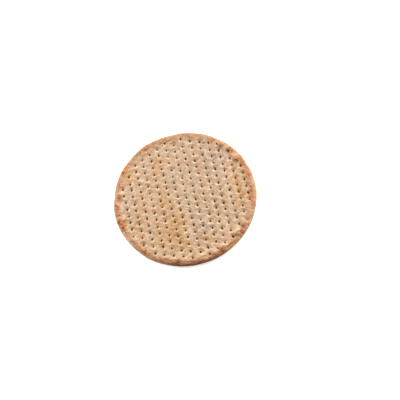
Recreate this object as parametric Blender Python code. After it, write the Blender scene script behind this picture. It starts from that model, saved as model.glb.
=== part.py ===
"""A round pizza crust of thin docked dough, par-baked and bare, at its real size.

Units are metres and +Z is up. The origin is the centre of the flat underside, which the crust
rests on. The columns of docking holes run along Y, and each column is half a pitch out of step
with the next one, as a spiked docking roller leaves them.
"""

import math
import random

import bmesh
import bpy
from mathutils import Vector, noise
from mathutils.geometry import delaunay_2d_cdt

# The disc, cut from a sheet of dough
CRUST_DIAMETER = 0.3048
FIELD_THICKNESS = 0.0066
EDGE_WAVER = 0.0008
EDGE_WAVE_LENGTH = 0.045

# Dents in its outline: angle from +X in degrees, half the width in degrees, depth
EDGE_DENTS = (
    (1, 4, 0.0009),
    (15, 4, 0.0014),
    (49, 5, 0.0017),
    (88, 13, 0.0016),
    (163, 6, 0.0013),
    (208, 9, 0.0006),
    (303, 12, 0.0007),
)

# Its rim, where no hole holds the dough down, stands a little above the field
RIM_CROWN_RISE = 0.0015
RIM_CROWN_INSET = 0.0110
RIM_WIDTH = 0.0140

# Its baked edge, an uneven half round that is fuller above its widest line than below it
EDGE_ROUND_RUN = 0.0085
EDGE_UNDER_RUN = 0.0022
EDGE_WIDEST_SHARE = 0.42
EDGE_CRAG = 0.0004
EDGE_CRAG_LENGTH = 0.012

# The docking holes: blind pits, longer along the roller's travel
DOCK_PITCH = 0.0158
DOCK_COLUMN_SPACING = 0.0183
DOCK_FIRST_COLUMN_X = 0.0040
DOCK_FIRST_ROW_Y = -0.0017
DOCK_EDGE_MARGIN = 0.0130
DOCK_MOUTH_HALF_WIDTH = 0.0023
DOCK_FLOOR_HALF_WIDTH = 0.0010
DOCK_LENGTHENING = 1.4
DOCK_DEPTH = 0.0030
DOCK_STRAY_ACROSS = 0.0008
DOCK_STRAY_ALONG = 0.0012
DOCK_SIZE_SPREAD = 0.14
DOCK_SEED = 12

# The dough swells into a low pillow between the holes, and the whole sheet rolls a little
PILLOW_RISE = 0.0012
PILLOW_REACH = 0.0056
SHEET_ROLL = 0.0005
SHEET_ROLL_LENGTH = 0.055

# Blisters round the rim: angle from +X in degrees, distance in from the edge, radius, height.
# Each one is level over the first share of its radius.
BLISTER_CROWN_SHARE = 0.25
RIM_BLISTERS = (
    (20, 0.0040, 0.0050, 0.0010),
    (24, 0.0120, 0.0105, 0.0029),
    (36, 0.0105, 0.0080, 0.0018),
    (43.5, 0.0105, 0.0085, 0.0024),
    (59, 0.0150, 0.0065, 0.0010),
    (73, 0.0080, 0.0060, 0.0010),
    (96, 0.0080, 0.0060, 0.0009),
    (112, 0.0085, 0.0060, 0.0011),
    (120, 0.0075, 0.0055, 0.0010),
    (140, 0.0065, 0.0080, 0.0014),
    (162.5, 0.0115, 0.0095, 0.0025),
    (172, 0.0055, 0.0055, 0.0010),
    (180, 0.0060, 0.0065, 0.0013),
    (186.5, 0.0100, 0.0095, 0.0024),
    (193, 0.0065, 0.0080, 0.0019),
    (206, 0.0070, 0.0060, 0.0010),
    (219, 0.0065, 0.0065, 0.0012),
    (235, 0.0090, 0.0065, 0.0010),
    (251.5, 0.0120, 0.0090, 0.0021),
    (271, 0.0080, 0.0060, 0.0010),
    (282, 0.0150, 0.0075, 0.0013),
    (291.5, 0.0115, 0.0085, 0.0019),
    (309, 0.0140, 0.0105, 0.0029),
    (319, 0.0120, 0.0085, 0.0023),
    (342, 0.0115, 0.0065, 0.0012),
    (355, 0.0090, 0.0065, 0.0010),
)

# How finely each stretch is divided
EDGE_SEGMENTS = 144
EDGE_UPPER_STEPS = 5
EDGE_LOWER_STEPS = 3
RIM_RING_INSETS = (0.0115, 0.0145)
DOCK_MOUTH_SIDES = 8
DOCK_FLOOR_SIDES = 5
BLISTER_SIDES = 7
BLISTER_RING_SHARE = 0.55
CLEARANCE_FROM_DOCK = 0.0026
CLEARANCE_FROM_SHOULDER = 0.0012
MERGE_DISTANCE = 1e-7
SHARP_ANGLE = math.radians(40)

CRUST_RADIUS = CRUST_DIAMETER / 2
CRUST_COLOUR = (0.624, 0.418, 0.266, 1.0)
CRUST_ROUGHNESS = 0.85


def clear_scene():
    for obj in list(bpy.data.objects):
        bpy.data.objects.remove(obj, do_unlink=True)


def smooth_step(low, high, value):
    share = min(1.0, max(0.0, (value - low) / (high - low)))
    return share * share * (3 - 2 * share)


def outward(angle):
    """The plan's unit vector at this angle from +X."""
    return Vector((math.cos(angle), math.sin(angle)))


def edge_radius(angle):
    """The crust's outer radius at this angle: a circle that wavers and is dented, as cut dough is."""
    place = outward(angle).to_3d() * (CRUST_RADIUS / EDGE_WAVE_LENGTH)
    radius = CRUST_RADIUS + EDGE_WAVER * noise.noise(place)
    for dent, half_width, depth in EDGE_DENTS:
        away = math.remainder(angle - math.radians(dent), math.tau) / math.radians(half_width)
        radius -= depth * math.exp(-away * away)
    return radius


def dock_places():
    """Every docking hole as (centre, size): staggered columns, each hole a little astray."""
    draw = random.Random(DOCK_SEED)
    columns = math.ceil(CRUST_RADIUS / DOCK_COLUMN_SPACING)
    rows = math.ceil(CRUST_RADIUS / DOCK_PITCH)
    docks = []
    for column in range(-columns, columns + 1):
        stagger = 0.5 * (column % 2)
        for row in range(-rows, rows + 1):
            x = DOCK_FIRST_COLUMN_X + column * DOCK_COLUMN_SPACING
            place = Vector((x, DOCK_FIRST_ROW_Y + (row + stagger) * DOCK_PITCH))
            across = draw.uniform(-1, 1) * DOCK_STRAY_ACROSS
            along = draw.uniform(-1, 1) * DOCK_STRAY_ALONG
            size = 1 + draw.uniform(-1, 1) * DOCK_SIZE_SPREAD
            if place.length <= CRUST_RADIUS - DOCK_EDGE_MARGIN:
                docks.append((place + Vector((across, along)), size))
    return docks


def gap_to_dock(point, docks):
    """Distance from this point of the plan to the mouth of the nearest docking hole."""
    return min((point - centre).length - DOCK_MOUTH_HALF_WIDTH * size for centre, size in docks)


def inset_of(point):
    """How far this point of the plan lies inside the edge."""
    return edge_radius(math.atan2(point.y, point.x)) - point.length


def blister_centre(degrees, inset):
    angle = math.radians(degrees)
    return outward(angle) * (edge_radius(angle) - inset)


def blister_lift(point):
    """How far the blisters lift the top at this point of the plan."""
    lift = 0.0
    for degrees, inset, radius, height in RIM_BLISTERS:
        away = (point - blister_centre(degrees, inset)).length / radius
        lift = max(lift, height * (1 - smooth_step(BLISTER_CROWN_SHARE, 1, away)))
    return lift


def top_height(point, dock_gap):
    """The dough's top at this point, dock_gap away from the mouth of the nearest hole."""
    rim_end = RIM_CROWN_INSET + RIM_WIDTH
    rim = RIM_CROWN_RISE * (1 - smooth_step(RIM_CROWN_INSET, rim_end, inset_of(point)))
    roll = SHEET_ROLL * noise.noise(point.to_3d() / SHEET_ROLL_LENGTH)
    dip = PILLOW_RISE * (1 - smooth_step(0, PILLOW_REACH, dock_gap))
    return FIELD_THICKNESS + rim + roll - dip + blister_lift(point)


def rim_ring(inset):
    """Points of the plan that follow the edge, this far inside it."""
    angles = [math.tau * step / EDGE_SEGMENTS for step in range(EDGE_SEGMENTS)]
    return [outward(angle) * (edge_radius(angle) - inset) for angle in angles]


def dock_oval(centre, half_width, sides):
    """Points round a docking hole, which is longer along Y."""
    turns = [math.tau * (step + 0.5) / sides for step in range(sides)]
    return [
        centre + Vector((math.cos(turn), math.sin(turn) * DOCK_LENGTHENING)) * half_width
        for turn in turns
    ]


def pillow_points(docks):
    """The tops of the pillows: between a hole and the next in its column, and to either side."""
    half_pitch = DOCK_PITCH / 2
    side = (DOCK_COLUMN_SPACING**2 - half_pitch**2) / (2 * DOCK_COLUMN_SPACING)
    points = [centre + Vector((x, half_pitch)) for centre, _ in docks for x in (-side, 0, side)]
    return [point for point in points if point.length < CRUST_RADIUS - DOCK_EDGE_MARGIN]


def blister_points():
    """The middle of each blister, and a ring of points down its slope, on the top."""
    points = []
    for degrees, inset, radius, _ in RIM_BLISTERS:
        centre = blister_centre(degrees, inset)
        points.append(centre)
        for side in range(BLISTER_SIDES):
            slope = outward(math.tau * side / BLISTER_SIDES) * radius * BLISTER_RING_SHARE
            points.append(centre + slope)
    return [point for point in points if inset_of(point) > EDGE_ROUND_RUN + CLEARANCE_FROM_SHOULDER]


def plan_of_top():
    """The plan's points, each with its height, and the loops that the triangles keep to."""
    docks = dock_places()
    points, heights, loops = [], [], []

    def add_loop(loop, drop=0.0):
        loops.append(range(len(points), len(points) + len(loop)))
        points.extend(loop)
        heights.extend(top_height(point, gap_to_dock(point, docks)) - drop for point in loop)

    def add_free(group):
        for point in group:
            dock_gap = gap_to_dock(point, docks)
            if dock_gap > CLEARANCE_FROM_DOCK:
                points.append(point)
                heights.append(top_height(point, dock_gap))

    add_loop(rim_ring(EDGE_ROUND_RUN))
    for centre, size in docks:
        add_loop(dock_oval(centre, DOCK_MOUTH_HALF_WIDTH * size, DOCK_MOUTH_SIDES))
        floor = dock_oval(centre, DOCK_FLOOR_HALF_WIDTH * size, DOCK_FLOOR_SIDES)
        add_loop(floor, drop=DOCK_DEPTH * size)
    for inset in RIM_RING_INSETS:
        add_free(rim_ring(inset))
    add_free(pillow_points(docks))
    add_free(blister_points())
    return points, heights, loops


def add_top(mesh):
    """Triangulates the plan inside its outermost ring, and lifts each point to its height."""
    points, heights, loops = plan_of_top()
    outline, dock_loops = list(loops[0]), loops[1:]
    edges = [(loop[i - 1], loop[i]) for loop in dock_loops for i in range(len(loop))]
    inside_outline = 1
    places, _, faces, origins, _, _ = delaunay_2d_cdt(
        points, edges, [outline], inside_outline, MERGE_DISTANCE
    )
    verts = [
        mesh.verts.new((place.x, place.y, heights[origin[0]]))
        for place, origin in zip(places, origins)
    ]
    for corners in faces:
        mesh.faces.new([verts[corner] for corner in corners])


def edge_profile():
    """The edge from top to base: how far inside the widest line, and at what share of the height."""
    profile = []
    for step in range(1, EDGE_UPPER_STEPS + 1):
        turn = 0.5 * math.pi * step / EDGE_UPPER_STEPS
        share = EDGE_WIDEST_SHARE + (1 - EDGE_WIDEST_SHARE) * math.cos(turn)
        profile.append((EDGE_ROUND_RUN * (1 - math.sin(turn)), share))
    for step in range(1, EDGE_LOWER_STEPS + 1):
        turn = 0.5 * math.pi * step / EDGE_LOWER_STEPS
        share = EDGE_WIDEST_SHARE * (1 - math.sin(turn))
        profile.append((EDGE_UNDER_RUN * (1 - math.cos(turn)), share))
    return profile


def edge_place(angle, inset, share):
    """A point of the edge's craggy skin; the crags die away towards the flat base."""
    plan = outward(angle) * (edge_radius(angle) - inset)
    place = plan.to_3d()
    place.z = top_height(plan, PILLOW_REACH) * share
    crag = EDGE_CRAG * noise.noise(place / EDGE_CRAG_LENGTH) * smooth_step(0, EDGE_WIDEST_SHARE, share)
    return place + outward(angle).to_3d() * crag


def add_edge_and_base(mesh):
    """Extrudes the top's open rim down the edge's profile, and closes it with the flat base."""
    rim = [edge for edge in mesh.edges if edge.is_boundary]
    for inset, share in edge_profile():
        extruded = bmesh.ops.extrude_edge_only(mesh, edges=rim)["geom"]
        rim = [item for item in extruded if isinstance(item, bmesh.types.BMEdge)]
        for vert in (item for item in extruded if isinstance(item, bmesh.types.BMVert)):
            vert.co = edge_place(math.atan2(vert.co.y, vert.co.x), inset, share)
    bmesh.ops.contextual_create(mesh, geom=rim)


def baked_dough():
    """Par-baked wheat dough: pale tan, dry and matt."""
    material = bpy.data.materials.new("baked_dough")
    material.use_nodes = True
    surface = material.node_tree.nodes["Principled BSDF"]
    surface.inputs["Base Color"].default_value = CRUST_COLOUR
    surface.inputs["Roughness"].default_value = CRUST_ROUGHNESS
    surface.inputs["Metallic"].default_value = 0.0
    return material


def build_crust():
    """The whole crust: docked top, rounded edge and flat base in one closed body."""
    mesh = bmesh.new()
    add_top(mesh)
    add_edge_and_base(mesh)
    bmesh.ops.recalc_face_normals(mesh, faces=mesh.faces)
    data = bpy.data.meshes.new("crust")
    mesh.to_mesh(data)
    mesh.free()
    data.materials.append(baked_dough())
    data.shade_smooth()
    data.set_sharp_from_angle(angle=SHARP_ANGLE)
    crust = bpy.data.objects.new("crust", data)
    bpy.context.scene.collection.objects.link(crust)


clear_scene()
build_crust()
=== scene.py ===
"""The looks of a par-baked pizza crust: docked, blistered wheat dough on a plain pale table."""

import math
import random

import bpy
import numpy as np
from mathutils import Euler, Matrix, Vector, noise
from mathutils.geometry import delaunay_2d_cdt


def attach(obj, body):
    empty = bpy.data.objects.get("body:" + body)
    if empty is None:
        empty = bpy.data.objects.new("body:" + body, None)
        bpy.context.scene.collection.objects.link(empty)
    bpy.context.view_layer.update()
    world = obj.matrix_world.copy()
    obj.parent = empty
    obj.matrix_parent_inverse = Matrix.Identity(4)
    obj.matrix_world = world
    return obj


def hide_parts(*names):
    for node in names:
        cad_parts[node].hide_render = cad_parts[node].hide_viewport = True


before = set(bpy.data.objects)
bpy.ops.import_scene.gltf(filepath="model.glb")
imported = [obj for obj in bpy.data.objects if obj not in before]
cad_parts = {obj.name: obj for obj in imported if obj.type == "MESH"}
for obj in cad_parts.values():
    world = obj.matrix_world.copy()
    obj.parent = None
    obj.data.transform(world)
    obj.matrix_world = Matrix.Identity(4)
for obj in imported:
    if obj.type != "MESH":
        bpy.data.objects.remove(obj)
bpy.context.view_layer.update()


# ---------------------------------------------------------------- the round of dough
# The crust is one round, cut from a sheet of wheat dough a little over 6 mm thick. Proving and
# baking leave its edge a soft half round, which wavers and is dented here and there.

CRUST_RADIUS = 0.1524
FIELD_THICKNESS = 0.0066
EDGE_WAVER = 0.0008
EDGE_WAVE_LENGTH = 0.045
EDGE_ROUND_RUN = 0.0085
EDGE_UNDER_RUN = 0.0022
EDGE_WIDEST_SHARE = 0.42
SKIN_INSIDE_SOLID = 0.0003

# Each dent is (angle from +X in degrees, half its width in degrees, depth)
EDGE_DENTS = (
    (1, 4, 0.0009),
    (15, 4, 0.0014),
    (49, 5, 0.0017),
    (88, 13, 0.0016),
    (163, 6, 0.0013),
    (208, 9, 0.0006),
    (303, 12, 0.0007),
)

EDGE_SEGMENTS = 850
EDGE_UPPER_STEPS = 13
EDGE_LOWER_STEPS = 5
TOP_SPACING = 0.00116
UNDERSIDE_SPACING = 0.0029
RING_GAP_SHARE = 0.6


def edge_radius(angle):
    """The outer radius at this angle: a circle that wavers and is dented, as cut dough is."""
    place = Vector((math.cos(angle), math.sin(angle), 0)) * (CRUST_RADIUS / EDGE_WAVE_LENGTH)
    radius = CRUST_RADIUS - SKIN_INSIDE_SOLID + EDGE_WAVER * noise.noise(place)
    for dent, half_width, depth in EDGE_DENTS:
        away = math.remainder(angle - math.radians(dent), math.tau) / math.radians(half_width)
        radius -= depth * math.exp(-away * away)
    return radius


edge_angles = np.arange(EDGE_SEGMENTS) * math.tau / EDGE_SEGMENTS
edge_radii = np.array([edge_radius(angle) for angle in edge_angles])
edge_outward = np.stack([np.cos(edge_angles), np.sin(edge_angles)], axis=1)


def inset_of(points):
    """How far each point of the plan lies inside the edge."""
    angles = np.arctan2(points[:, 1], points[:, 0])
    return np.interp(angles, edge_angles, edge_radii, period=math.tau) - np.hypot(*points.T)


def edge_ring(inset):
    """Points of the plan all round the edge, this far inside it."""
    return edge_outward * (edge_radii - inset)[:, None]


def filling(spacing, margin):
    """A field of evenly spaced points that keeps this margin from the edge."""
    row_height = spacing * math.sqrt(0.75)
    rows = math.ceil(CRUST_RADIUS / row_height)
    columns = math.ceil(CRUST_RADIUS / spacing)
    row, column = np.mgrid[-rows : rows + 1, -columns : columns + 1]
    field = np.stack([(column + 0.5 * (row % 2)) * spacing, row * row_height], axis=-1)
    field = field.reshape(-1, 2)
    return field[inset_of(field) > margin]


# ---------------------------------------------------------------- the docking holes
# A roller set with blunt pins pricks the raw dough nearly through, so that it can't balloon. It
# leaves staggered columns of blind holes, a little longer along its travel. Round the margin
# the dough closes again over the last of them, and only shallow scars are left.

DOCK_PITCH = 0.0158
DOCK_COLUMN_SPACING = 0.0183
DOCK_FIRST_COLUMN_X = 0.0040
DOCK_FIRST_ROW_Y = -0.0017
DOCK_EDGE_MARGIN = 0.0130
SCAR_EDGE_MARGIN = 0.0080
DOCK_MOUTH_HALF_WIDTH = 0.0023
DOCK_STRAY_ACROSS = 0.0008
DOCK_STRAY_ALONG = 0.0012
DOCK_SIZE_SPREAD = 0.14
DOCK_SEED = 12
DOCK_LENGTHENING = (1.2, 1.6)
DOCK_TURN = math.radians(14)
DOCK_DEPTH_SHARE = (0.82, 1.0)
SCAR_DEPTH_SHARE = (0.08, 0.22)
DOCK_HOLD = (0.65, 1.35)

# Rings of the mesh round each hole: how many mouths wide, and how many points
DOCK_RINGS = ((0.0, 1), (0.43, 9), (0.62, 14), (0.80, 14), (0.94, 16), (1.10, 16), (1.32, 18), (1.65, 20))
RING_CLEARANCE = 1.88


def dock_places():
    """Every hole and scar: x, y, size, lengthening, turn, depth share and hold on the dough."""
    draw = random.Random(DOCK_SEED)
    character = random.Random(DOCK_SEED + 1)
    columns = math.ceil(CRUST_RADIUS / DOCK_COLUMN_SPACING)
    rows = math.ceil(CRUST_RADIUS / DOCK_PITCH)
    docks = []
    for column in range(-columns, columns + 1):
        stagger = 0.5 * (column % 2)
        for row in range(-rows, rows + 1):
            x = DOCK_FIRST_COLUMN_X + column * DOCK_COLUMN_SPACING
            y = DOCK_FIRST_ROW_Y + (row + stagger) * DOCK_PITCH
            margin = CRUST_RADIUS - math.hypot(x, y)
            x += draw.uniform(-1, 1) * DOCK_STRAY_ACROSS
            y += draw.uniform(-1, 1) * DOCK_STRAY_ALONG
            size = 1 + draw.uniform(-1, 1) * DOCK_SIZE_SPREAD
            lengthening = character.uniform(*DOCK_LENGTHENING)
            turn = character.uniform(-1, 1) * DOCK_TURN
            is_scar = margin < DOCK_EDGE_MARGIN
            depth = character.uniform(*(SCAR_DEPTH_SHARE if is_scar else DOCK_DEPTH_SHARE))
            hold = depth if is_scar else character.uniform(*DOCK_HOLD)
            if margin >= SCAR_EDGE_MARGIN:
                docks.append((x, y, size, lengthening, turn, depth, hold))
    return np.array(docks)


docks = dock_places()
holes = docks[docks[:, 5] > max(SCAR_DEPTH_SHARE)]


def rings_round(hole):
    """The mesh's points in and round one hole."""
    x, y, size, lengthening, turn = hole[:5]
    points = []
    for ring, (mouths, count) in enumerate(DOCK_RINGS):
        angles = (np.arange(count) + 0.5 * (ring % 2)) * math.tau / count
        oval = np.stack([np.cos(angles), np.sin(angles) * lengthening], axis=1)
        oval *= mouths * DOCK_MOUTH_HALF_WIDTH * size
        turned = oval @ np.array([[math.cos(turn), math.sin(turn)], [-math.sin(turn), math.cos(turn)]])
        points.append(turned + (x, y))
    return np.concatenate(points)


def clear_of_holes(points):
    """The points that lie outside the rings of every hole."""
    keep = np.ones(len(points), dtype=bool)
    for x, y, size, lengthening, turn in holes[:, :5]:
        away = points - (x, y)
        along_x = away[:, 0] * math.cos(turn) + away[:, 1] * math.sin(turn)
        along_y = (away[:, 1] * math.cos(turn) - away[:, 0] * math.sin(turn)) / lengthening
        keep &= np.hypot(along_x, along_y) > RING_CLEARANCE * DOCK_MOUTH_HALF_WIDTH * size
    return points[keep]


def point_cloud(name, places, **attributes):
    """Loose points that a node tree can read: one at each place, with these values."""
    mesh = bpy.data.meshes.new(name)
    mesh.from_pydata([(x, y, 0) for x, y in places], [], [])
    for attribute, values in attributes.items():
        mesh.attributes.new(attribute, "FLOAT", "POINT").data.foreach_set("value", np.ravel(values))
    return bpy.data.objects.new(name, mesh)


dock_points = point_cloud(
    "dock_points", docks[:, :2],
    size=docks[:, 2], lengthening=docks[:, 3], turn=docks[:, 4], depth=docks[:, 5], hold=docks[:, 6],
)


# ---------------------------------------------------------------- the blisters
# Steam lifts the skin of the rim into blisters of all sizes, the highest of them 3 mm high.
# Each is (angle from +X in degrees, distance in from the edge, radius, height).

BLISTERS = (
    (20, 0.0040, 0.0050, 0.0010),
    (24, 0.0120, 0.0105, 0.0029),
    (36, 0.0105, 0.0080, 0.0018),
    (43.5, 0.0105, 0.0085, 0.0024),
    (59, 0.0150, 0.0065, 0.0010),
    (73, 0.0080, 0.0060, 0.0010),
    (96, 0.0080, 0.0060, 0.0009),
    (112, 0.0085, 0.0060, 0.0011),
    (120, 0.0075, 0.0055, 0.0010),
    (140, 0.0065, 0.0080, 0.0014),
    (162.5, 0.0115, 0.0095, 0.0025),
    (172, 0.0055, 0.0055, 0.0010),
    (180, 0.0060, 0.0065, 0.0013),
    (186.5, 0.0100, 0.0095, 0.0024),
    (193, 0.0065, 0.0080, 0.0019),
    (206, 0.0070, 0.0060, 0.0010),
    (219, 0.0065, 0.0065, 0.0012),
    (235, 0.0090, 0.0065, 0.0010),
    (251.5, 0.0120, 0.0090, 0.0021),
    (271, 0.0080, 0.0060, 0.0010),
    (282, 0.0150, 0.0075, 0.0013),
    (291.5, 0.0115, 0.0085, 0.0019),
    (309, 0.0140, 0.0105, 0.0029),
    (319, 0.0120, 0.0085, 0.0023),
    (342, 0.0115, 0.0065, 0.0012),
    (355, 0.0090, 0.0065, 0.0010),
)
blisters = np.array(BLISTERS)
blister_angles = np.radians(blisters[:, 0])
blister_reach = np.array([edge_radius(angle) for angle in blister_angles]) - blisters[:, 1]
blister_places = np.stack([np.cos(blister_angles), np.sin(blister_angles)], axis=1) * blister_reach[:, None]
blister_points = point_cloud("blister_points", blister_places, radius=blisters[:, 2], height=blisters[:, 3])


# ---------------------------------------------------------------- the stains of the rim
# The rim colours unevenly in the oven: toasted stretches, rosy and golden ones, and scorched spots
# on the blisters. Some stains paint light and shade as well: the pale ones are partly where flour or
# a fold kept the heat off and mostly painted highlights on the lit sides of blisters, the browned
# ones are partly painted shade on their shaded sides, and the floury edge is partly flour and
# partly painted light. Each stain is (angle from +X in degrees, distance in from the edge, half its
# length, half its width, strength).

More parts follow.
